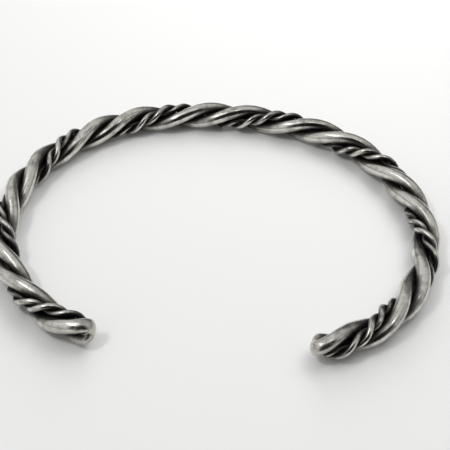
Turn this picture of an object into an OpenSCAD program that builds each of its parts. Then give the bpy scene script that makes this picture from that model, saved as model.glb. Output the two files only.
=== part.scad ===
/* [Wires] */
// Diameter of each of the two heavy round wires
heavy_d = 2.05; // [1.6:0.05:3]
// Diameter of each of the two fine round wires
fine_d = 0.9; // [0.5:0.05:1.1]
// Clear space left between wires that lie against each other
wire_gap = 0.07; // [0.05:0.01:0.2]

/* [Twist] */
// Length of bangle in one full turn of the three strands
lay = 19.45; // [16:0.05:30]
// Length of bangle in one turn of the fine pair about its own middle
pair_lay = 9.1; // [5.5:0.1:14]
// Angle of the fine pair at the middle of the back, counted upward from straight outward
twist_start = -110; // [-180:1:180]
// Angle of the first fine wire within its pair at the same place, if the pair is twisted evenly
pair_start = 49; // [-180:1:180]
// How many degrees the pair's hand-made twist strays from an even one, at most
pair_wander = 80; // [0:1:120]
// Place along the bangle where the two agree, counted from the middle of the back
wander_start = -27; // [-70:1:70]

/* [Outline] */
// Length of the bangle from tip to tip, along its middle line
band_length = 153.3; // [135:0.1:175]
// Radius of the flattest stretch, across the back
back_radius = 46.5; // [36:0.5:90]
// Turn of that stretch on each side of its middle, in degrees
back_turn = 16.5; // [5:0.5:22]
// Radius of the two shoulders
shoulder_radius = 27.3; // [22:0.1:34]
// Turn of each shoulder, in degrees
shoulder_turn = 49; // [35:1:65]
// Radius of the two arms that come round to the front
arm_radius = 22.4; // [18:0.1:28]
// Turn of each arm, in degrees
arm_turn = 90; // [60:1:100]
// Radius of the short curl before each tip
tip_radius = 14; // [12:0.5:40]

/* [End noses] */
// Length of the fused nose, from the cut ends of the wires to the tip
nose_length = 2.2; // [1:0.1:2.4]
// Length of its straight collar, before it rounds off
nose_collar = 0.3; // [0.2:0.05:0.6]
// How far the nose stays inside the widest line of the twist
nose_step = 0.25; // [0:0.05:0.4]
// Clear space between the cut ends of the wires and the nose
nose_gap = 0.06; // [0.04:0.01:0.3]

/* [Hidden] */

// Sides of a wire's section and rings along its length
heavy_sides = 12;
heavy_rings = 138;
fine_sides = 6;
fine_rings = 318;
$fn = 48;

degrees = 180 / PI;
heavy_r = heavy_d / 2;
wire_end = band_length / 2 - nose_length;

// How far a wire's straight facets cut inside its curve, from the bangle's length per ring,
// its length per turn and the radius of the turn
function sag(rings, turn, r) = r * (1 - cos(180 * 2 * wire_end / (rings - 1) / turn));
heavy_sag = sag(heavy_rings, lay, heavy_r);
fine_sag = sag(fine_rings, 1 / (1 / lay + 1 / pair_lay), fine_d / 2);

// Distance of each fine wire from the middle of the pair, and the pair's own outer radius
pair_orbit = (fine_d + wire_gap) / 2 + fine_sag;
pair_r = pair_orbit + fine_d / 2;
// Distances between middles when two strands lie against each other
heavy_to_heavy = heavy_d + wire_gap + 2 * heavy_sag;
heavy_to_pair = heavy_r + pair_r + wire_gap;
// Length of bangle in one radian of twist, on the inner side of the tightest bend
advance = lay / (2 * PI) * (1 - heavy_r / min(back_radius, shoulder_radius, arm_radius, tip_radius));

// One row for each arc of half the outline, from the middle of the back to a tip
RADIUS = 0;
TURN = 1;
arcs = [
    [back_radius, back_turn],
    [shoulder_radius, shoulder_turn],
    [arm_radius, arm_turn],
    [tip_radius, 360]
];

// How two strands share a cut across the bangle.
// Two helices come closest a little before or after the cut, so the distance in the cut is
// made larger until the nearest distance is the one that is wanted.
function slip(r1, r2, apart, rounds = 8) =
    rounds == 0 ? 0 : -r1 * r2 / pow(advance, 2) * sin(apart + slip(r1, r2, apart, rounds - 1)) * degrees;
function nearest(r1, r2, apart) =
    let (t = slip(r1, r2, apart))
    sqrt(r1 * r1 + r2 * r2 - 2 * r1 * r2 * cos(apart + t) + pow(advance * t / degrees, 2));

// Places of the strands in the cut, from the distances heavy to heavy and heavy to pair.
// The twist turns about the point from which all three strands reach equally far.
HEAVY_ORBIT = 0;
PAIR_ORBIT = 1;
HEAVY_ANGLE = 2;
function strand_places(heavies, to_pair) =
    let (
        height = sqrt(to_pair * to_pair - heavies * heavies / 4),
        excess = pair_r + height - heavy_r,
        middle = (excess * excess - heavies * heavies / 4) / (2 * excess)
    )
    [norm([heavies / 2, middle]), height - middle, atan2(heavies / 2, -middle)];
function settled(heavies, to_pair, rounds = 8) =
    let (p = strand_places(heavies, to_pair))
    rounds == 0 ? p : settled(
        heavies * heavy_to_heavy / nearest(p[HEAVY_ORBIT], p[HEAVY_ORBIT], 360 - 2 * p[HEAVY_ANGLE]),
        to_pair * heavy_to_pair / nearest(p[HEAVY_ORBIT], p[PAIR_ORBIT], p[HEAVY_ANGLE]),
        rounds - 1);

places = settled(heavy_to_heavy, heavy_to_pair);
heavy_orbit = places[HEAVY_ORBIT];
strand_orbit = places[PAIR_ORBIT];
heavy_angle = places[HEAVY_ANGLE];
band_r = heavy_r + heavy_orbit;
nose_r = band_r - nose_step;

// A station along the middle line: its place, its heading turned clockwise from +X, its bend.
AT = 0;
HEADING = 1;
BEND = 2;
function walk(left, at = [0, 0], heading = 0, row = 0) =
    let (
        r = arcs[row][RADIUS],
        step = min(left, r * arcs[row][TURN] / degrees),
        to = heading + step / r * degrees,
        next = at + r * [sin(to) - sin(heading), cos(to) - cos(heading)]
    )
    left <= step ? [next, to, 1 / r] : walk(left - step, next, to, row + 1);
function station(s) =
    let (half = walk(abs(s)))
    s < 0 ? [[-half[AT][0], half[AT][1]], -half[HEADING], half[BEND]] : half;

// The bangle's box is centred on the origin, front to back
front = min([for (k = [0:60]) let (p = station(k / 60 * wire_end)) p[AT][1] + band_r * cos(p[HEADING])]);
middle_y = (front + band_r) / 2;

// A place in the cut is [outward, upward] from the middle line
function in_space(p, cut) = [
    p[AT][0] + cut[0] * sin(p[HEADING]),
    p[AT][1] + cut[0] * cos(p[HEADING]) - middle_y,
    cut[1] + band_r
];

function polar(r, angle) = r * [cos(angle), sin(angle)];
function strand_angle(s) = twist_start - 360 * s / lay;

// Middle of heavy wire number side, 1 or -1
function heavy_middle(s, side) = polar(heavy_orbit, strand_angle(s) + side * heavy_angle);

// Middle of a fine wire, start degrees round its pair. The pair leans with its strand, so a
// cut across the bangle meets its circle as an ellipse, a little early or late.
lean = atan(strand_orbit / lay * 2 * PI);
function fine_middle(s, start) =
    let (
        wander = pair_wander * sin(360 * (s - wander_start) / band_length),
        square = pair_start + start - 360 * s / pair_lay + wander,
        turn = square + 360 / pair_lay * pair_orbit * sin(lean) * sin(square),
        a = strand_angle(s)
    )
    polar(strand_orbit + pair_orbit * cos(turn), a) + polar(pair_orbit * sin(turn) / cos(lean), a + 90);

// One ring of a round wire: its ellipse in the cut, from the way its middle moves sideways
function ring(p, middle, drift, r, sides) =
    let (
        along = 1 + p[BEND] * middle[0],
        stretch = 1 / (along * along * (1 + sqrt(1 + drift * drift / (along * along))))
    )
    [for (k = [0:sides - 1])
        let (d = polar(1, 360 * k / sides))
        in_space(p, middle + r * (d + drift * (drift * d) * stretch))];

module tube(rings) {
    sides = len(rings[0]);
    last = (len(rings) - 1) * sides;
    polyhedron(
        points = [for (r = rings) for (p = r) p],
        faces = [
            for (k = [1:sides - 2]) [0, k, k + 1],
            for (k = [1:sides - 2]) [last, last + k + 1, last + k],
            for (i = [0:len(rings) - 2]) for (k = [0:sides - 1])
                let (a = i * sides + k, b = i * sides + (k + 1) % sides)
                each [[a, a + sides, b], [b, a + sides, b + sides]]
        ]
    );
}

// Half the short length over which a wire's sideways drift is measured
probe = 0.05;

module heavy_wire(side) {
    tube([for (i = [0:heavy_rings - 1])
        let (
            s = wire_end * (2 * i / (heavy_rings - 1) - 1),
            drift = (heavy_middle(s + probe, side) - heavy_middle(s - probe, side)) / (2 * probe)
        )
        ring(station(s), heavy_middle(s, side), drift, heavy_r, heavy_sides)]);
}

module fine_wire(start) {
    tube([for (i = [0:fine_rings - 1])
        let (
            s = wire_end * (2 * i / (fine_rings - 1) - 1),
            drift = (fine_middle(s + probe, start) - fine_middle(s - probe, start)) / (2 * probe)
        )
        ring(station(s), fine_middle(s, start), drift, fine_d / 2, fine_sides)]);
}

// A collar and a shallow dome, beyond the cut ends of the wires at side 1 or -1
module end_nose(side) {
    p = station(side * wire_end);
    rise = nose_length - nose_collar;
    dome_r = (nose_r * nose_r + rise * rise) / (2 * rise);
    translate(in_space(p, [0, 0]))
        rotate([0, 0, -p[HEADING] - 90 * side])
            rotate([-90, 0, 0])
                rotate_extrude()
                    intersection() {
                        translate([0, nose_gap])
                            square([nose_r, nose_length]);
                        translate([0, nose_length - dome_r])
                            circle(dome_r);
                    }
}

module heavy_wire_1() { color("#b9b6b0") heavy_wire(1); }
module heavy_wire_2() { color("#a9a6a1") heavy_wire(-1); }
module fine_wire_1() { color("#8f8c88") fine_wire(0); }
module fine_wire_2() { color("#7c7a77") fine_wire(180); }
module end_nose_left() { color("#c4bfb8") end_nose(-1); }
module end_nose_right() { color("#c4bfb8") end_nose(1); }

heavy_wire_1();
heavy_wire_2();
fine_wire_1();
fine_wire_2();
end_nose_left();
end_nose_right();
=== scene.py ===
# %% [markdown]
# # A twisted silver cuff
# The bangle is a rope of silver wire: two heavy wires and one pair of fine wires, laid
# together like a three-strand rope, bent to an open oval and fused at both tips. It was
# blackened and then polished, so the hollows between the wires stayed dark.
#
# Everything here is in metres, in the frame of the imported solids. The first cell loads them,
# and part_box gives the box of each, so that the laid wires can be set against their solids.

# %% The frame
from math import atan, cos, pi, radians, sin, tau

import bpy
from mathutils import Matrix, Quaternion, Vector
from mathutils.bvhtree import BVHTree


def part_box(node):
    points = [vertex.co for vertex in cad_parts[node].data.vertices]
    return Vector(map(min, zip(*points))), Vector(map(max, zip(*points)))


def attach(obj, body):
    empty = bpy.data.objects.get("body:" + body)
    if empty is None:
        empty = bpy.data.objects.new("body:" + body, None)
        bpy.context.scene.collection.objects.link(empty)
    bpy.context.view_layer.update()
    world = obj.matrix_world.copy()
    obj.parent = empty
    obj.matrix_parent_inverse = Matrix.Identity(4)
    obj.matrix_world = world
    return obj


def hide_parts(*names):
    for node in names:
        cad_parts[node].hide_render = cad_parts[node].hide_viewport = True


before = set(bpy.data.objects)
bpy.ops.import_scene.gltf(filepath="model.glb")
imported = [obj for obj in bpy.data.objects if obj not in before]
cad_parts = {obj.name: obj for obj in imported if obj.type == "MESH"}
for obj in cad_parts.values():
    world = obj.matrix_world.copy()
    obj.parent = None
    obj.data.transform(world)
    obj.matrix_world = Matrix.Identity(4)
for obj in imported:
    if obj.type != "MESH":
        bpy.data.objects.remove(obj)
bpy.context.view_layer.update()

MM = 0.001
scene = bpy.context.scene
print("solids:", sorted(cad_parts))

# %% [markdown]
# ## The middle line
# Every wire winds about one line, the middle of the rope. Seen from above it is half an oval
# on each side of the back: a flat back, a shoulder, an arm that comes round to the front and
# a short curl at the tip. Such an outline could be drawn with a Bezier curve, but a bench
# jeweller bends wire over round stakes, so it is a chain of arcs, each with its own radius.
# The arcs are walked with a heading, as one would walk round the bangle.
#
# Just before each tip the strands close in on each other, more so on the right, and there the
# wires get a touch thinner, so that they end inside the melted metal.

# %% The middle line
BAND_LENGTH = 153.3 * MM
NOSE_LENGTH = 2.2 * MM
WIRE_END = BAND_LENGTH / 2 - NOSE_LENGTH
ARCS = [  # radius of the bend and how far it turns, from the middle of the back to a tip
    (46.5 * MM, radians(16.5)),
    (27.3 * MM, radians(49)),
    (22.4 * MM, radians(90)),
    (14.0 * MM, tau),
]
BAND_RADIUS = 2.234 * MM  # of the whole rope
BACK_TO_FRONT = 51.677 * MM
SQUEEZE_LENGTH = 2.0 * MM  # so far before each cut the strands begin to close in on each other
SQUEEZE = {-1: 0.03, 1: 0.22}  # and by this share of their width in each such length, left and right
SINK = 0.06  # the wires get thinner by this share, to end inside the fused tips


def middle_point(s):
    """The point of the middle line at the distance s from the middle of the back."""
    x, y, heading, left = 0.0, BACK_TO_FRONT / 2 - BAND_RADIUS, 0.0, abs(s)
    for radius, turn in ARCS:
        step = min(left, radius * turn)
        after = heading + step / radius
        x += radius * (sin(after) - sin(heading))
        y += radius * (cos(after) - cos(heading))
        heading, left = after, left - step
        if left <= 0:
            break
    return Vector((x if s >= 0 else -x, y, BAND_RADIUS))


def past_squeeze(s):
    """How far the distance s lies past the start of the squeeze: 1 at a cut end, more beyond."""
    return max((abs(s) - WIRE_END) / SQUEEZE_LENGTH + 1, 0.0)


def squeezed(s):
    """How far the strands lie from the middle at the distance s, as a share of the usual."""
    past = past_squeeze(s)
    return 1 - SQUEEZE[1 if s > 0 else -1] * (past * past / 2 if past < 1 else past - 0.5)


def middle_line(step=0.1 * MM):
    """A mesh of edges along the middle line, which the wires are wound on. It also holds how
    close the strands lie at each place and how thick they are."""
    count = round(2 * WIRE_END / step) + 1
    lengths = [WIRE_END * (2 * i / (count - 1) - 1) for i in range(count)]
    mesh = bpy.data.meshes.new("middle line")
    mesh.from_pydata([middle_point(s) for s in lengths], [(i, i + 1) for i in range(count - 1)], [])
    mesh.attributes.new("width", "FLOAT", "POINT").data.foreach_set("value", [squeezed(s) for s in lengths])
    girths = [1 - SINK * past_squeeze(s) ** 2 for s in lengths]
    mesh.attributes.new("girth", "FLOAT", "POINT").data.foreach_set("value", girths)
    return mesh


for s in (-BAND_LENGTH / 2, BAND_LENGTH / 2):
    print("a tip lies at", [round(v / MM, 2) for v in middle_point(s)])

# %% [markdown]
# ## How the strands lie
# In a cut across the rope the two heavy wires and the pair of fine wires lie against each
# other like three coins, each at its own distance from the middle. Going along the rope the
# whole cut turns, one turn in every lay. The fine pair also turns about its own middle, about
# two turns more in every lay. The solids keep a hair of air between the wires. The real ones
# touch, so here each wire is a touch thicker and lies a touch nearer to the middle.

# %% How the strands lie
HEAVY_RADIUS = 1.025 * MM
FINE_RADIUS = 0.45 * MM
TOUCH = 0.02 * MM
LAY = 19.45 * MM
PAIR_LAY = 9.1 * MM
TWIST_START = radians(-110)
PAIR_START = radians(49)
PAIR_WANDER = radians(80)
WANDER_START = -27 * MM
HEAVY_ORBIT = 1.209 * MM
HEAVY_ANGLE = radians(115.03)
PAIR_ORBIT = 1.286 * MM
FINE_ORBIT = 0.489 * MM
LEAN = atan(PAIR_ORBIT / LAY * tau)

heavy = {
    "Wire radius": HEAVY_RADIUS + TOUCH,
    "Strand orbit": HEAVY_ORBIT - TOUCH,
    "Orbit in the pair": 0.0,
    "Sides": 32,
}
fine = {
    "Wire radius": FINE_RADIUS + TOUCH,
    "Strand orbit": PAIR_ORBIT - TOUCH,
    "Orbit in the pair": FINE_ORBIT - TOUCH / 2,
    "Sides": 20,
}
WIRES = {  # what each wire is made of, and its start angle in the rope and in its pair
    "heavy_wire_1": (heavy, TWIST_START + HEAVY_ANGLE, 0.0),
    "heavy_wire_2": (heavy, TWIST_START - HEAVY_ANGLE, 0.0),
    "fine_wire_1": (fine, TWIST_START, PAIR_START),
    "fine_wire_2": (fine, TWIST_START, PAIR_START + pi),
}

# %% [markdown]
# ## A tree that lays a wire
# A helix about a bent line is a rule, so Geometry Nodes can do the winding: the tree takes
# the middle line, works out for each point how far outward and upward the wire lies there,
# moves the point, and sweeps a circle along the result. One tree serves all four wires. It
# also keeps on the mesh, for the finishes, where each point lay on the wire while that was
# still straight, before it was twisted.
#
# First comes the one small function that adds a node, with its settings and its links.


# %% A function that adds a node
def add(tree, kind, inputs=None, **settings):
    """Adds a node. inputs maps a socket to a value, or to the node or output that feeds it."""
    node = tree.nodes.new(kind)
    for name, value in settings.items():
        setattr(node, name, value)
    for socket, value in (inputs or {}).items():
        if isinstance(value, bpy.types.Node):
            value = value.outputs[0]
        if isinstance(value, bpy.types.NodeSocket):
            tree.links.new(value, node.inputs[socket])
        else:
            node.inputs[socket].default_value = value
    return node


# %% The wire tree
laying = bpy.data.node_groups.new("Lay a wire", "GeometryNodeTree")
SOCKETS = [
    ("Wire radius", "NodeSocketFloat"),
    ("Strand orbit", "NodeSocketFloat"),
    ("Orbit in the pair", "NodeSocketFloat"),
    ("Start angle", "NodeSocketFloat"),
    ("Start in the pair", "NodeSocketFloat"),
    ("Lay", "NodeSocketFloat"),
    ("Lay of the pair", "NodeSocketFloat"),
    ("Wander", "NodeSocketFloat"),
    ("Wander start", "NodeSocketFloat"),
    ("Wander length", "NodeSocketFloat"),
    ("Lean", "NodeSocketFloat"),
    ("First length", "NodeSocketFloat"),
    ("Dent depth", "NodeSocketFloat"),
    ("Dent size", "NodeSocketFloat"),
    ("Sides", "NodeSocketInt"),
    ("Material", "NodeSocketMaterial"),
]
laying.interface.new_socket("Geometry", in_out="OUTPUT", socket_type="NodeSocketGeometry")
laying.interface.new_socket("Middle line", in_out="INPUT", socket_type="NodeSocketGeometry")
socket_names = {
    name: laying.interface.new_socket(name, in_out="INPUT", socket_type=kind).identifier
    for name, kind in SOCKETS
}
given = add(laying, "NodeGroupInput").outputs

# The angles of the strand in the rope and of the wire in its pair, at each point
line = add(laying, "GeometryNodeMeshToCurve", {0: given["Middle line"]})
walked = add(laying, "GeometryNodeSplineParameter").outputs["Length"]
along = add(laying, "ShaderNodeMath", {0: walked, 1: given["First length"]}, operation="ADD")
turns = add(laying, "ShaderNodeMath", {0: along, 1: given["Lay"]}, operation="DIVIDE")
strand_angle = add(
    laying, "ShaderNodeMath", {0: turns, 1: -tau, 2: given["Start angle"]}, operation="MULTIPLY_ADD"
)
pair_turns = add(laying, "ShaderNodeMath", {0: along, 1: given["Lay of the pair"]}, operation="DIVIDE")
even_angle = add(
    laying,
    "ShaderNodeMath",
    {0: pair_turns, 1: -tau, 2: given["Start in the pair"]},
    operation="MULTIPLY_ADD",
)
# The pair was twisted by hand, so its turn strays a little from an even one
past_start = add(laying, "ShaderNodeMath", {0: along, 1: given["Wander start"]}, operation="SUBTRACT")
wander_turns = add(laying, "ShaderNodeMath", {0: past_start, 1: given["Wander length"]}, operation="DIVIDE")
wander_angle = add(laying, "ShaderNodeMath", {0: wander_turns, 1: tau}, operation="MULTIPLY")
wander_sine = add(laying, "ShaderNodeMath", {0: wander_angle}, operation="SINE")
even_angle = add(
    laying, "ShaderNodeMath", {0: wander_sine, 1: given["Wander"], 2: even_angle}, operation="MULTIPLY_ADD"
)
# The pair leans with its strand, so a cut meets its circle a little early or late
lean_sine = add(laying, "ShaderNodeMath", {0: given["Lean"]}, operation="SINE")
lean_cosine = add(laying, "ShaderNodeMath", {0: given["Lean"]}, operation="COSINE")
reach = add(laying, "ShaderNodeMath", {0: given["Orbit in the pair"], 1: lean_sine}, operation="MULTIPLY")
reach_turns = add(laying, "ShaderNodeMath", {0: reach, 1: given["Lay of the pair"]}, operation="DIVIDE")
reach_angle = add(laying, "ShaderNodeMath", {0: reach_turns, 1: tau}, operation="MULTIPLY")
even_sine = add(laying, "ShaderNodeMath", {0: even_angle}, operation="SINE")
pair_angle = add(
    laying, "ShaderNodeMath", {0: even_sine, 1: reach_angle, 2: even_angle}, operation="MULTIPLY_ADD"
)
pair_cosine = add(laying, "ShaderNodeMath", {0: pair_angle}, operation="COSINE")
pair_sine = add(laying, "ShaderNodeMath", {0: pair_angle}, operation="SINE")
from_middle = add(
    laying,
    "ShaderNodeMath",
    {0: pair_cosine, 1: given["Orbit in the pair"], 2: given["Strand orbit"]},
    operation="MULTIPLY_ADD",
)
sideways = add(laying, "ShaderNodeMath", {0: pair_sine, 1: given["Orbit in the pair"]}, operation="MULTIPLY")
sideways = add(laying, "ShaderNodeMath", {0: sideways, 1: lean_cosine}, operation="DIVIDE")

# The wire's place in the cut, turned with the rope: x is outward and y is upward
cut = add(laying, "ShaderNodeCombineXYZ", {"X": from_middle, "Y": sideways})
cut = add(laying, "ShaderNodeVectorRotate", {"Vector": cut, "Angle": strand_angle}, rotation_type="Z_AXIS")
cut = add(laying, "ShaderNodeSeparateXYZ", {0: cut})
heading = add(laying, "GeometryNodeInputTangent")
outward = add(laying, "ShaderNodeVectorMath", {0: (0, 0, 1), 1: heading}, operation="CROSS_PRODUCT")
outward = add(laying, "ShaderNodeVectorMath", {0: outward, "Scale": cut.outputs["X"]}, operation="SCALE")
upward = add(laying, "ShaderNodeCombineXYZ", {"Z": cut.outputs["Y"]})
move = add(laying, "ShaderNodeVectorMath", {0: outward, 1: upward}, operation="ADD")
width = add(laying, "GeometryNodeInputNamedAttribute", {"Name": "width"}, data_type="FLOAT")
move = add(laying, "ShaderNodeVectorMath", {0: move, "Scale": width}, operation="SCALE")

# The move and the sweep, with each point's place on the wire and in its section kept
line = add(laying, "GeometryNodeSetPosition", {"Geometry": line, "Offset": move})
wire_length = add(laying, "GeometryNodeSplineParameter").outputs["Length"]
line = add(
    laying,
    "GeometryNodeStoreNamedAttribute",
    {"Geometry": line, "Name": "wire length", "Value": wire_length},
    data_type="FLOAT",
)
section = add(
    laying, "GeometryNodeCurvePrimitiveCircle", {"Resolution": given["Sides"], "Radius": given["Wire radius"]}
)
section_place = add(laying, "GeometryNodeInputPosition")
section = add(
    laying,
    "GeometryNodeStoreNamedAttribute",
    {"Geometry": section, "Name": "section", "Value": section_place},
    data_type="FLOAT_VECTOR",
)
girth = add(laying, "GeometryNodeInputNamedAttribute", {"Name": "girth"}, data_type="FLOAT")
wire = add(
    laying,
    "GeometryNodeCurveToMesh",
    {"Curve": line, "Profile Curve": section, "Scale": girth, "Fill Caps": True},
)

# The wire as it was while straight: x is its length, y and z lie in its section
length_again = add(laying, "GeometryNodeInputNamedAttribute", {"Name": "wire length"}, data_type="FLOAT")
section_again = add(laying, "GeometryNodeInputNamedAttribute", {"Name": "section"}, data_type="FLOAT_VECTOR")
parts = add(laying, "ShaderNodeSeparateXYZ", {0: section_again}).outputs
straight = add(laying, "ShaderNodeCombineXYZ", {"X": length_again, "Y": parts["X"], "Z": parts["Y"]})
wire = add(
    laying,
    "GeometryNodeStoreNamedAttribute",
    {"Geometry": wire, "Name": "straight", "Value": straight},
    data_type="FLOAT_VECTOR",
)

# Shallow dents from the twisting and from wear. The noise runs from 0 to 1, so a half is
# taken off and the rest is doubled, to reach the dent depth inward and outward.
dent_scale = add(laying, "ShaderNodeMath", {0: 1.0, 1: given["Dent size"]}, operation="DIVIDE")
dents = add(laying, "ShaderNodeTexNoise", {"Scale": dent_scale, "Detail": 2.0, "Roughness": 0.5})
dents = add(laying, "ShaderNodeMath", {0: dents, 1: 0.5}, operation="SUBTRACT")
dents = add(laying, "ShaderNodeMath", {0: dents, 1: given["Dent depth"]}, operation="MULTIPLY")
dents = add(laying, "ShaderNodeMath", {0: dents, 1: 2.0}, operation="MULTIPLY")
facing = add(laying, "GeometryNodeInputNormal")
dents = add(laying, "ShaderNodeVectorMath", {0: facing, "Scale": dents}, operation="SCALE")
wire = add(laying, "GeometryNodeSetPosition", {"Geometry": wire, "Offset": dents})
wire = add(laying, "GeometryNodeSetShadeSmooth", {"Geometry": wire})
wire = add(laying, "GeometryNodeRealizeInstances", {"Geometry": wire})
wire = add(laying, "GeometryNodeSetMaterial", {"Geometry": wire, "Material": given["Material"]})
add(laying, "NodeGroupOutput", {0: wire})
print("wire tree:", len(laying.nodes), "nodes")

# %% [markdown]
# ## Colours and finishes
# Sterling silver is blackened in a liver of sulphur bath and then rubbed bright again, which
# reaches the crests and leaves the hollows black. So the finish is one metal with two faces:
# clean worn silver and soft black sulphide, and a mask says which one shows. The mask comes
# from the shape and not from the camera: it is how well a pad of cloth can reach each spot.


# %% Colours
def colour(code):
    """An sRGB hex value as the linear colour that a shader works in."""
    channels = [int(code[i : i + 2], 16) / 255 for i in (1, 3, 5)]
    return [c / 12.92 if c <= 0.04045 else ((c + 0.055) / 1.055) ** 2.4 for c in channels] + [1.0]


GREYED_SILVER = colour("#7A7772")
BLACK_SULPHIDE = colour("#1A1818")

# Sizes of the marks that blackening, polishing and wear left
BLACK_EDGE = 1.2 * MM
WORN_STRETCH = 4.0 * MM
SCUFF = 0.11 * MM
SPECKLE = 0.16 * MM
SCRATCH = 0.22 * MM
PIT = 0.6 * MM
RELIEF_DEPTH = 0.02 * MM
BLACK_ROUGHNESS = 0.5
ROUGHNESS_SPREAD = 0.12


# %% Oxidised and polished silver
def oxidised_silver(name, fall_off, silver="#D9D7D0", satin=0.12):
    """Sterling silver, drawn to wire, blackened and hand polished: bright satin crests with
    fine scuffs, a grey haze lower down and dull black where the cloth can't reach. The higher
    the fall_off, the sooner the polish is lost beside a crest. satin is the least roughness."""
    material = bpy.data.materials.new(name)
    material.use_nodes = True
    tree = material.node_tree
    tree.nodes.clear()
    place = add(tree, "ShaderNodeTexCoord").outputs["Object"]
    straight = add(tree, "ShaderNodeAttribute", attribute_name="straight").outputs["Vector"]
    reach = add(tree, "ShaderNodeAttribute", attribute_name="reach").outputs["Fac"]

    # The edge of the black wanders by a few tenths of a millimetre
    patches = add(tree, "ShaderNodeTexNoise", {"Vector": place, "Scale": 1 / BLACK_EDGE, "Detail": 4.0})
    wander = add(
        tree,
        "ShaderNodeMapRange",
        {"Value": patches, "From Min": 0.3, "From Max": 0.7, "To Min": -0.08, "To Max": 0.08},
    )
    # and here and there a stretch of some millimetres was polished less
    worn = add(tree, "ShaderNodeTexNoise", {"Vector": place, "Scale": 1 / WORN_STRETCH, "Detail": 1.0})
    worn = add(
        tree,
        "ShaderNodeMapRange",
        {"Value": worn, "From Min": 0.35, "From Max": 0.65, "To Min": -0.06, "To Max": 0.03},
    )
    edge = add(tree, "ShaderNodeMath", {0: reach, 1: wander}, operation="ADD")
    edge = add(tree, "ShaderNodeMath", {0: edge, 1: worn}, operation="ADD", use_clamp=True)
    polish = add(tree, "ShaderNodeMath", {0: edge, 1: fall_off}, operation="POWER")
    clean = add(
        tree,
        "ShaderNodeMapRange",
        {"Value": edge, "From Min": 0.4, "From Max": 0.85},
        interpolation_type="SMOOTHSTEP",
    )

    # Scuffs run round and along the drawn wire; speckle is the grain that polishing left
    drawn = add(tree, "ShaderNodeMapping", {"Vector": straight, "Scale": (0.12, 1.0, 1.0)})
    scuffs = add(tree, "ShaderNodeTexNoise", {"Vector": drawn, "Scale": 1 / SCUFF, "Detail": 3.0})
    speckle = add(tree, "ShaderNodeTexNoise", {"Vector": place, "Scale": 1 / SPECKLE, "Detail": 3.0})

    # Scratches along the wire and small pits kept some of their black
    lines = add(tree, "ShaderNodeMapping", {"Vector": straight, "Scale": (0.06, 1.0, 1.0)})
    lines = add(tree, "ShaderNodeTexNoise", {"Vector": lines, "Scale": 1 / SCRATCH, "Detail": 2.0})
    lines = add(
        tree, "ShaderNodeMapRange", {"Value": lines, "From Min": 0.58, "From Max": 0.7, "To Max": 0.45}
    )
    pits = add(tree, "ShaderNodeMapping", {"Vector": straight, "Scale": (0.5, 1.0, 1.0)})
    pits = add(tree, "ShaderNodeTexNoise", {"Vector": pits, "Scale": 1 / PIT, "Detail": 2.0})
    pits = add(tree, "ShaderNodeMapRange", {"Value": pits, "From Min": 0.66, "From Max": 0.8, "To Max": 0.5})
    marks = add(tree, "ShaderNodeMath", {0: lines, 1: pits}, operation="MAXIMUM")
    marked = add(tree, "ShaderNodeMath", {0: polish, 1: marks}, operation="MULTIPLY")
    shown = add(tree, "ShaderNodeMath", {0: polish, 1: marked}, operation="SUBTRACT")

    # Colour: black, then a warm grey haze, then polished silver
    skin = add(tree, "ShaderNodeValToRGB", {"Fac": shown})
    tones = skin.color_ramp.elements
    tones[0].position, tones[0].color = 0.0, BLACK_SULPHIDE
    tones[1].position, tones[1].color = 1.0, colour(silver)
    tones.new(0.3).color = GREYED_SILVER
    rough_clean = add(
        tree,
        "ShaderNodeMapRange",
        {
            "Value": scuffs,
            "From Min": 0.3,
            "From Max": 0.7,
            "To Min": satin,
            "To Max": satin + ROUGHNESS_SPREAD,
        },
    )
    rough = add(
        tree, "ShaderNodeMix", {"Factor": clean, 2: BLACK_ROUGHNESS, 3: rough_clean}, data_type="FLOAT"
    ).outputs[0]
    metal = add(tree, "ShaderNodeMapRange", {"Value": clean, "To Min": 0.55, "To Max": 1.0})
    relief = add(tree, "ShaderNodeBump", {"Height": scuffs, "Strength": 0.22, "Distance": RELIEF_DEPTH})
    relief = add(
        tree,
        "ShaderNodeBump",
        {"Height": speckle, "Strength": 0.25, "Distance": RELIEF_DEPTH, "Normal": relief},
    )

    surface = add(
        tree,
        "ShaderNodeBsdfPrincipled",
        {"Base Color": skin, "Metallic": metal, "Roughness": rough, "Normal": relief},
    )
    add(tree, "ShaderNodeOutputMaterial", {"Surface": surface})
    return material


heavy_silver = oxidised_silver("Oxidised silver, heavy wire", 4.3)
fine_silver = oxidised_silver("Oxidised silver, fine wire", 5.5)
fused_silver = oxidised_silver("Oxidised silver, fused tip", 4.3, silver="#C8C5BE", satin=0.2)
FINISH_OF = {  # the material slot of each piece, and the silver that it takes
    "heavy_wire_1": ("heavy_silver", heavy_silver),
    "heavy_wire_2": ("heavy_silver", heavy_silver),
    "fine_wire_1": ("fine_silver", fine_silver),
    "fine_wire_2": ("fine_silver", fine_silver),
    "end_nose_left": ("fused_silver", fused_silver),
    "end_nose_right": ("fused_silver", fused_silver),
}

# %% [markdown]
# ## Laying the four wires
# Each wire is the middle line with the tree on it. The modifier is given its sizes by the
# identifiers of its sockets, then the result is turned into a plain mesh and the modifier is
# removed, so that the piece is nothing but its own faces.


# %% Laying the four wires
DENT_DEPTH = 0.012 * MM
DENT_SIZE = 2.2 * MM


def grow(piece, tree, identifiers, values):
    """Puts a tree on a piece and leaves the plain mesh that comes out."""
    modifier = piece.modifiers.new(tree.name, "NODES")
    modifier.node_group = tree
    for label, value in values.items():
        modifier[identifiers[label]] = value
    depsgraph = bpy.context.evaluated_depsgraph_get()
    mesh = bpy.data.meshes.new_from_object(piece.evaluated_get(depsgraph))
    piece.modifiers.clear()
    piece.data = mesh


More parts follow.
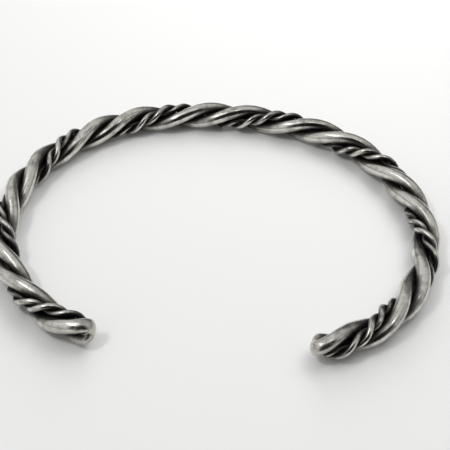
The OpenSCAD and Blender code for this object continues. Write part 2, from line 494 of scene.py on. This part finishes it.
def lay_wire(name):
    """Winds one wire of the rope, from cut end to cut end."""
    sizes, angle, pair_angle = WIRES[name]
    values = dict(sizes)
    values["Start angle"] = angle
    values["Start in the pair"] = pair_angle
    values["Lay"] = LAY
    values["Lay of the pair"] = PAIR_LAY
    values["Wander"] = PAIR_WANDER
    values["Wander start"] = WANDER_START
    values["Wander length"] = BAND_LENGTH
    values["Lean"] = LEAN
    values["First length"] = -WIRE_END
    values["Dent depth"] = DENT_DEPTH
    values["Dent size"] = DENT_SIZE
    values["Material"] = FINISH_OF[name][1]
    piece = bpy.data.objects.new(name + "_looks", middle_line())
    scene.collection.objects.link(piece)
    grow(piece, laying, socket_names, values)
    return piece


wires = {name: lay_wire(name) for name in WIRES}
for name, piece in wires.items():
    low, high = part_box(name)
    corners = [Vector(v.co) for v in piece.data.vertices]
    drifts = [abs(min(c[i] for c in corners) - low[i]) for i in range(3)]
    drifts += [abs(max(c[i] for c in corners) - high[i]) for i in range(3)]
    print(f"{name}: {len(piece.data.polygons)} faces, box within {max(drifts) / MM:.3f} mm of its solid")

# %% [markdown]
# ## The middle of a wire
# The tips need the same four wires in another form, so here is the rule of the tree once
# more, in plain Python. The middle ring of each wire that the tree laid shows whether both
# agree.


# %% The middle of a wire
def ahead_at(s):
    """The way the middle line runs at the distance s."""
    step = 0.01 * MM
    return (middle_point(s + step) - middle_point(s - step)).normalized()


def wire_point(name, s):
    """Where the middle of a wire lies at the distance s."""
    sizes, angle, pair_angle = WIRES[name]
    strand_orbit, pair_orbit = sizes["Strand orbit"], sizes["Orbit in the pair"]
    even = pair_angle - tau * s / PAIR_LAY + PAIR_WANDER * sin(tau * (s - WANDER_START) / BAND_LENGTH)
    turned = even + pair_orbit * sin(LEAN) / PAIR_LAY * tau * sin(even)
    cut = Vector((strand_orbit + pair_orbit * cos(turned), pair_orbit * sin(turned) / cos(LEAN)))
    cut.rotate(Matrix.Rotation(angle - tau * s / LAY, 2))
    cut *= squeezed(s)
    up = Vector((0, 0, 1))
    return middle_point(s) + cut.x * up.cross(ahead_at(s)) + cut.y * up


for name, piece in wires.items():
    sides = WIRES[name][0]["Sides"]
    rings = len(piece.data.vertices) // sides
    ring = [vertex.co for vertex in piece.data.vertices[rings // 2 * sides : (rings // 2 + 1) * sides]]
    off = sum(ring, Vector()) / sides - wire_point(name, WIRE_END * (2 * (rings // 2) / (rings - 1) - 1))
    print(f"{name}: its middle ring is {off.length / MM:.3f} mm from where the rule puts it")

# %% [markdown]
# ## The fused tips
# At each end the wires were melted together with a torch and filed round. A field describes
# that well. At each point of a small block of space the tree measures how far away the middle
# of each wire is, which less the wire's radius is the distance to its skin. The smaller of
# two such distances joins two wires, and a smooth minimum joins them with a fillet. The
# fillets widen towards the end, where the solder flowed, so the grooves run out before it. A
# smooth maximum with a round rod about the middle line shapes the end, as the file did. At
# the right tip the rod lies a touch lower and further forward than the middle line.

# %% The tip tree
MELT_START, MELT_FULL = 2.8 * MM, 1.1 * MM  # distances from the tip between which the melt widens
LEAST_MELT = 0.05 * MM
SUNK_AT, PROUD_AT = 4.3 * MM, 2.8 * MM  # distances from the tip between which the skin rises
SUNK, PROUD = -0.03 * MM, 0.015 * MM
fusing = bpy.data.node_groups.new("Fuse a tip", "GeometryNodeTree")
TIP_SOCKETS = [
    ("Tip", "NodeSocketVector"),
    ("Filed radius", "NodeSocketFloat"),
    ("Heavy radius", "NodeSocketFloat"),
    ("Fine radius", "NodeSocketFloat"),
    ("Solder radius", "NodeSocketFloat"),
    ("Widest melt", "NodeSocketFloat"),
    ("Filed edge", "NodeSocketFloat"),
    ("Low corner", "NodeSocketVector"),
    ("High corner", "NodeSocketVector"),
    ("Steps", "NodeSocketInt"),
    ("Smoothing", "NodeSocketInt"),
    ("Material", "NodeSocketMaterial"),
]
fusing.interface.new_socket("Geometry", in_out="OUTPUT", socket_type="NodeSocketGeometry")
fusing.interface.new_socket("Middles", in_out="INPUT", socket_type="NodeSocketGeometry")
tip_socket_names = {
    name: fusing.interface.new_socket(name, in_out="INPUT", socket_type=kind).identifier
    for name, kind in TIP_SOCKETS
}
given = add(fusing, "NodeGroupInput").outputs
here = add(fusing, "GeometryNodeInputPosition")
line_number = add(fusing, "GeometryNodeInputNamedAttribute", {"Name": "line number"}, data_type="INT")

# The melt widens towards the tip. The skin starts a hair below the wires' own, and rises
# until it stands a hair proud of them.
to_tip = add(fusing, "ShaderNodeVectorMath", {0: here, 1: given["Tip"]}, operation="DISTANCE")
to_tip = to_tip.outputs["Value"]
melt = add(
    fusing,
    "ShaderNodeMapRange",
    {
        "Value": to_tip,
        "From Min": MELT_START,
        "From Max": MELT_FULL,
        "To Min": LEAST_MELT,
        "To Max": given["Widest melt"],
    },
    interpolation_type="SMOOTHSTEP",
)
proud = add(
    fusing,
    "ShaderNodeMapRange",
    {"Value": to_tip, "From Min": SUNK_AT, "From Max": PROUD_AT, "To Min": SUNK, "To Max": PROUD},
)
LINE_RADII = ("Heavy radius", "Heavy radius", "Fine radius", "Fine radius", "Solder radius", "Filed radius")
skins = []
for number, radius in enumerate(LINE_RADII):
    away = add(
        fusing,
        "GeometryNodeProximity",
        {
            "Geometry": given["Middles"],
            "Group ID": line_number,
            "Source Position": here,
            "Sample Group ID": number,
        },
        target_element="EDGES",
    ).outputs["Distance"]
    skins.append(add(fusing, "ShaderNodeMath", {0: away, 1: given[radius]}, operation="SUBTRACT"))
rod = skins.pop()
skin = skins[0]
for other in skins[1:]:
    skin = add(fusing, "ShaderNodeMath", {0: skin, 1: other, 2: melt}, operation="SMOOTH_MIN")
skin = add(fusing, "ShaderNodeMath", {0: skin, 1: proud}, operation="SUBTRACT")
skin = add(fusing, "ShaderNodeMath", {0: skin, 1: rod, 2: given["Filed edge"]}, operation="SMOOTH_MAX")

# Fullness is a half on the skin and grows inward, and the mesh follows the half
depth = add(fusing, "ShaderNodeMath", {0: skin, 1: -1 / MM, 2: 0.5}, operation="MULTIPLY_ADD")
block = add(
    fusing,
    "GeometryNodeVolumeCube",
    {
        "Density": depth,
        "Min": given["Low corner"],
        "Max": given["High corner"],
        "Resolution X": given["Steps"],
        "Resolution Y": given["Steps"],
        "Resolution Z": given["Steps"],
    },
)
tip = add(fusing, "GeometryNodeVolumeToMesh", {"Volume": block, "Threshold": 0.5})
# Taking each point to the middle of its neighbours wipes out the steps of the block
smoothed = add(
    fusing,
    "GeometryNodeBlurAttribute",
    {"Value": here, "Iterations": given["Smoothing"]},
    data_type="FLOAT_VECTOR",
)
tip = add(fusing, "GeometryNodeSetPosition", {"Geometry": tip, "Position": smoothed})
tip = add(fusing, "GeometryNodeSetShadeSmooth", {"Geometry": tip})
tip = add(fusing, "GeometryNodeRealizeInstances", {"Geometry": tip})
tip = add(fusing, "GeometryNodeSetMaterial", {"Geometry": tip, "Material": given["Material"]})
add(fusing, "NodeGroupOutput", {0: tip})
print("tip tree:", len(fusing.nodes), "nodes")

# %% [markdown]
# The tree is fed with lines: the middle of each wire from a little before its cut to where it
# ends in the melt, a short line for the ball of solder, and the middle of the filed rod. Each
# line has a number, by which the tree tells them apart.

# %% The lines of a tip
TIP_LAP = 3.0 * MM
FILED_RADIUS = 2.45 * MM
FILED_LENGTH = 6 * MM
FILED_DROP = {-1: Vector((0, 0, 0)), 1: Vector((0, -0.1, -0.1)) * MM}  # more came off the right tip's top
SOLDER_RADIUS = 1.0 * MM
SOLDER_LENGTH = 0.1 * MM
RUN_ON = {  # how far each wire runs on beyond its cut, in the left and the right tip
    "heavy_wire_1": {-1: 1.7 * MM, 1: 1.7 * MM},
    "heavy_wire_2": {-1: 1.7 * MM, 1: 0.6 * MM},
    "fine_wire_1": {-1: -0.1 * MM, 1: -0.1 * MM},
    "fine_wire_2": {-1: -0.1 * MM, 1: -0.1 * MM},
}


def line_between(place, start, end, step=0.1 * MM):
    """Points at even distances along the bangle, from start to end."""
    count = round(abs(end - start) / step) + 1
    return [place(start + (end - start) * i / (count - 1)) for i in range(count)]


def tip_lines(side):
    """The lines that a tip grows on: four wires, the solder and the filed rod."""
    lines = []
    for wire in WIRES:
        start, end = WIRE_END - TIP_LAP, WIRE_END + RUN_ON[wire][side]
        lines.append(line_between(lambda s: wire_point(wire, s), side * start, side * end))
    for radius, length in ((SOLDER_RADIUS, SOLDER_LENGTH), (FILED_RADIUS, FILED_LENGTH)):
        last = BAND_LENGTH / 2 - radius
        middles = line_between(middle_point, side * (last - length), side * last)
        lines.append([place + FILED_DROP[side] for place in middles])
    return lines


def numbered_mesh(name, lines):
    """One mesh of edges from all lines, which keeps the number of each line."""
    points, edges, numbers = [], [], []
    for number, line in enumerate(lines):
        edges += [(i, i + 1) for i in range(len(points), len(points) + len(line) - 1)]
        points += line
        numbers += [number] * len(line)
    mesh = bpy.data.meshes.new(name)
    mesh.from_pydata(points, edges, [])
    mesh.attributes.new("line number", "INT", "POINT").data.foreach_set("value", numbers)
    return mesh


# %% [markdown]
# Each tip is then grown in a block of space that holds the wires' ends with room to spare. A
# tip wasn't drawn as a wire was, but the scuffs still need a direction, so each point of it
# also gets a place on a straight wire, taken from the way the bangle runs at its cut.

# %% The fused tips
FILED_EDGE = 0.8 * MM
WIDEST_MELT = 0.8 * MM
BLOCK_MARGIN = 1.5 * MM
BLOCK_STEPS = 140
SMOOTHING = 6


def fused_tip(name, side):
    """One skin over the wires' ends and the solder between them."""
    lines = tip_lines(side)
    ends = [p for line in lines[: len(WIRES)] for p in line]
    values = {
        "Tip": middle_point(side * BAND_LENGTH / 2),
        "Filed radius": FILED_RADIUS,
        "Filed edge": FILED_EDGE,
        "Solder radius": SOLDER_RADIUS,
        "Heavy radius": heavy["Wire radius"],
        "Fine radius": fine["Wire radius"],
        "Widest melt": WIDEST_MELT,
        "Low corner": Vector([min(p[i] for p in ends) - BLOCK_MARGIN for i in range(3)]),
        "High corner": Vector([max(p[i] for p in ends) + BLOCK_MARGIN for i in range(3)]),
        "Steps": BLOCK_STEPS,
        "Smoothing": SMOOTHING,
        "Material": FINISH_OF[name][1],
    }
    tip = bpy.data.objects.new(name + "_looks", numbered_mesh(name + "_looks", lines))
    scene.collection.objects.link(tip)
    grow(tip, fusing, tip_socket_names, values)

    origin, ahead = middle_point(side * BAND_LENGTH / 2), ahead_at(side * WIRE_END)
    outward = Vector((0, 0, 1)).cross(ahead)
    straight = []
    for vertex in tip.data.vertices:
        place = vertex.co - origin
        straight += [place.dot(ahead), place.dot(outward), place.z]
    tip.data.attributes.new("straight", "FLOAT_VECTOR", "POINT").data.foreach_set("vector", straight)
    print(f"{name}: {len(tip.data.polygons)} faces")
    return tip


tips = {name: fused_tip(name, side) for name, side in (("end_nose_left", -1), ("end_nose_right", 1))}

# %% [markdown]
# ## Where the polish reaches
# Ambient occlusion in the shader would darken the hollows too, but it is worked out anew for
# each picture. Here it is measured once, on the shape: balls of cloth of three sizes are set
# against each point of the metal, and a ball that runs into another wire can't polish there.
# The share of the ball's radius that stays free is kept on the mesh as reach.

# %% Where the polish reaches
pieces = list(wires.values()) + list(tips.values())
all_points, all_faces = [], []
for piece in pieces:
    first = len(all_points)
    all_points += [v.co.copy() for v in piece.data.vertices]
    all_faces += [[first + i for i in face.vertices] for face in piece.data.polygons]
metal = BVHTree.FromPolygons(all_points, all_faces)
BALLS = [1.0 * MM, 2.5 * MM, 4.0 * MM]

for piece in pieces:
    values = []
    for vertex in piece.data.vertices:
        free = [metal.find_nearest(vertex.co + r * vertex.normal)[3] / r for r in BALLS]
        values.append(sum(free) / len(free))
    piece.data.attributes.new("reach", "FLOAT", "POINT").data.foreach_set("value", values)
    median = sorted(values)[len(values) // 2]
    print(f"{piece.name}: reach {min(values):.2f} to {max(values):.2f}, middle {median:.2f}")

# %% [markdown]
# ## Handing the pieces over
# Each piece stands for its solid, rides on the one body and says which finish it takes.

# %% Handing the pieces over
for name, piece in {**wires, **tips}.items():
    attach(piece, "root")
    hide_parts(name)
    print(f"{name}: {FINISH_OF[name][0]}")

# %% [markdown]
# ## Floor, light and camera
# The bangle lies on plain white card in soft light. Silver shows little colour of its own:
# it shows what stands around it. So the room matters as much as the metal: white card below,
# a pale room that is dark in two places, and soft boxes above that draw the bright lines.

# %% Floor
card = bpy.data.materials.new("White card")
card.use_nodes = True
card_surface = card.node_tree.nodes["Principled BSDF"]
card_surface.inputs["Base Color"].default_value = colour("#F2F2F1")
card_surface.inputs["Roughness"].default_value = 0.55
floor_mesh = bpy.data.meshes.new("floor")
FLOOR_HALF = 3.0
floor_corners = [(x * FLOOR_HALF, y * FLOOR_HALF, 0) for x, y in ((-1, -1), (1, -1), (1, 1), (-1, 1))]
floor_mesh.from_pydata(floor_corners, [], [(0, 1, 2, 3)])
floor = bpy.data.objects.new("floor", floor_mesh)
floor.data.materials.append(card)
scene.collection.objects.link(floor)
print(f"floor: {2 * FLOOR_HALF:.0f} m square")

# %% [markdown]
# A lamp does two things: it lights the card, and it shows as a bright line in the metal. To
# set the two apart, three of the lamps here only light and three only show.


# %% Lights
def softbox(name, at, size, watts):
    """A soft box that faces the bangle."""
    lamp = bpy.data.lights.new(name, "AREA")
    lamp.shape = "RECTANGLE"
    lamp.size, lamp.size_y = size
    lamp.energy = watts
    box = bpy.data.objects.new(name, lamp)
    box.location = at
    box.rotation_euler = (-Vector(at)).to_track_quat("-Z", "Y").to_euler()
    scene.collection.objects.link(box)
    return box


def from_bangle(turn, rise, distance):
    """A place seen from the bangle: turned clockwise from straight behind it, and raised."""
    turn, rise = radians(turn), radians(rise)
    return (distance * sin(turn) * cos(rise), distance * cos(turn) * cos(rise), distance * sin(rise))


for name, place, size, watts in (
    ("key", from_bangle(-105, 60, 0.35), (0.05, 0.05), 0.22),
    ("back", from_bangle(45, 52, 0.25), (0.15, 0.15), 0.19),
    ("low back", from_bangle(0, 30, 0.25), (0.15, 0.15), 0.19),
):
    window = softbox(name, place, size, watts)
    window.visible_glossy = False
for name, place, size, watts in (
    ("overhead", from_bangle(-110, 68, 0.35), (0.20, 0.12), 0.06),
    ("left glint", from_bangle(-105, 60, 0.30), (0.22, 0.03), 0.05),
    ("right glint", from_bangle(130, 75, 0.30), (0.04, 0.04), 0.015),
):
    glint = softbox(name, place, size, watts)
    glint.visible_diffuse = False

# %% [markdown]
# The room round the bangle is a colour for each direction. It is brighter above than low down
# and brighter on the left, and it is dark in two places: in front, where the camera stands,
# and low behind the bangle, to the right. Both show as dark lines in the silver.

# %% Room
room = bpy.data.worlds.new("Room")
room.use_nodes = True
scene.world = room
tree = room.node_tree
tree.nodes.clear()
direction = add(tree, "ShaderNodeTexCoord").outputs["Generated"]
height = add(tree, "ShaderNodeSeparateXYZ", {0: direction}).outputs["Z"]
walls = add(tree, "ShaderNodeValToRGB", {"Fac": height})
ramp = walls.color_ramp.elements
ramp[0].position, ramp[0].color = 0.0, colour("#BEBEBE")
ramp[1].position, ramp[1].color = 0.6, colour("#F0F0F0")
for position, code in ((0.15, "#C8C8C8"), (0.35, "#E3E3E3")):
    ramp.new(position).color = colour(code)


def dark_patch(seen, toward, rim, heart, most, code):
    """Darkens the room round one direction. rim and heart are the cosines of the angles from
    it at which the dark starts and is full, and most is how much of it shows there."""
    facing = add(tree, "ShaderNodeVectorMath", {0: direction, 1: toward}, operation="DOT_PRODUCT")
    shade = add(
        tree,
        "ShaderNodeMapRange",
        {"Value": facing.outputs["Value"], "From Min": rim, "From Max": heart, "To Max": most},
        interpolation_type="SMOOTHSTEP",
    )
    mixed = add(tree, "ShaderNodeMix", {"Factor": shade, 6: seen, 7: colour(code)}, data_type="RGBA")
    return mixed.outputs[2]


# In front, where the camera stands, and then the dark shelf low behind the bangle
seen = dark_patch(walls, Vector(from_bangle(168, 34, 1.0)), 0.7, 0.9, 1.0, "#202022")
seen = dark_patch(seen, Vector(from_bangle(22, 8, 1.0)), 0.75, 0.95, 0.7, "#3C3C3E")
across = add(tree, "ShaderNodeSeparateXYZ", {0: direction}).outputs["X"]
dimmer = add(
    tree,
    "ShaderNodeMapRange",
    {"Value": across, "From Min": -1.0, "From Max": 1.0, "To Min": 0.92, "To Max": 0.62},
)
sky = add(tree, "ShaderNodeBackground", {"Color": seen, "Strength": dimmer})
add(tree, "ShaderNodeOutputWorld", {"Surface": sky})
print("room:", len(tree.nodes), "nodes")

# %% [markdown]
# The camera stands in front and looks down on the bangle at 47 degrees, a little to the right
# of straight ahead, and tips over by a degree and a half, as a hand-held one does.

# %% Camera
CAMERA_AIM = Vector((1.5 * MM, -0.39 * MM, 0))
CAMERA_DISTANCE = 132.48 * MM
CAMERA_ELEVATION = radians(47.18)
CAMERA_TURN = radians(2.98)
CAMERA_ROLL = radians(1.46)
FOCAL_LENGTH = 67.15  # in millimetres, as the sensor's width is
SENSOR_WIDTH = 36.0
lens = bpy.data.cameras.new("camera")
lens.lens = FOCAL_LENGTH
lens.sensor_width = SENSOR_WIDTH
lens.clip_start = 0.01
camera = bpy.data.objects.new("camera", lens)
sideways = Vector((sin(CAMERA_TURN), -cos(CAMERA_TURN), 0))
toward_lens = Vector((0, 0, sin(CAMERA_ELEVATION))) + cos(CAMERA_ELEVATION) * sideways
camera.location = CAMERA_AIM + CAMERA_DISTANCE * toward_lens
level = (CAMERA_AIM - camera.location).to_track_quat("-Z", "Y")
camera.rotation_mode = "QUATERNION"
camera.rotation_quaternion = level @ Quaternion((0, 0, 1), CAMERA_ROLL)
scene.collection.objects.link(camera)
scene.camera = camera
scene.view_settings.view_transform = "Standard"
